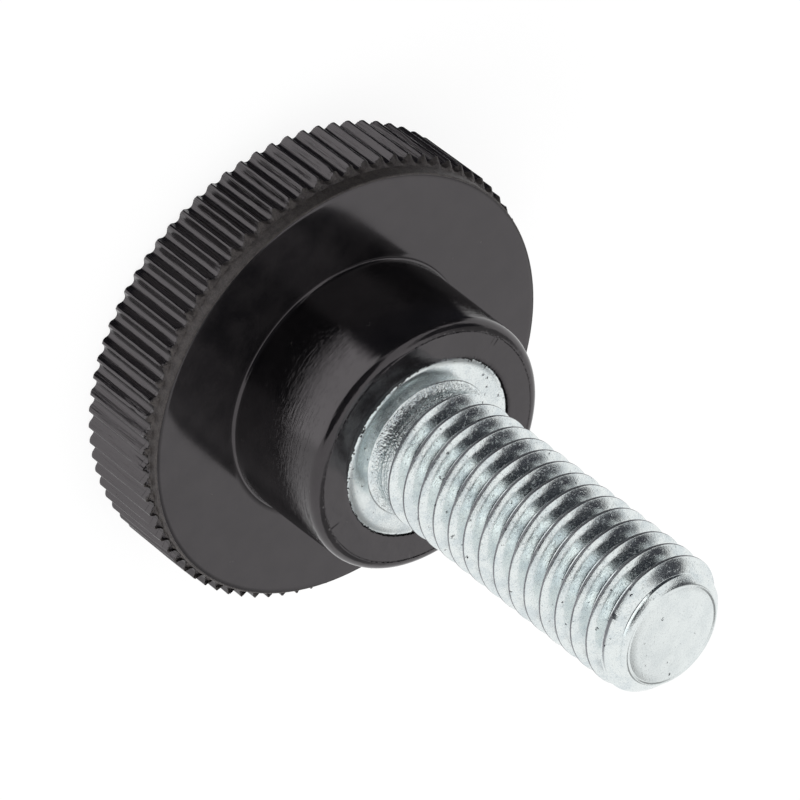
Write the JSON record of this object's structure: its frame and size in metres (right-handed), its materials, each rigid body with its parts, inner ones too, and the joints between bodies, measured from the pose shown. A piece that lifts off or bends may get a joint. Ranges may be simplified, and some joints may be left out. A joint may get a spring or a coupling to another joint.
{
  "type": "knurled knob",
  "caption": "Round moulded knob with a straight-knurled grip and a plain hub, on a threaded steel stud that screws into a tapped hole.",
  "frame": {"origin": "centre of the knob's outer face, which the part stands on", "axes": "+Z along the stud, from the outer face of the grip to the stud's tip; one tooth points along +X"},
  "size_m": [0.0262, 0.0262, 0.0324],
  "materials": {
    "moulding": "glossy black thermoset moulding, matt on the plain band round the rim",
    "plated_steel": "bright zinc plating with a faint blue tint"
  },
  "bodies": {
    "root": {"knob_body": "moulding", "threaded_stud": "plated_steel"}
  },
  "joints": []
}
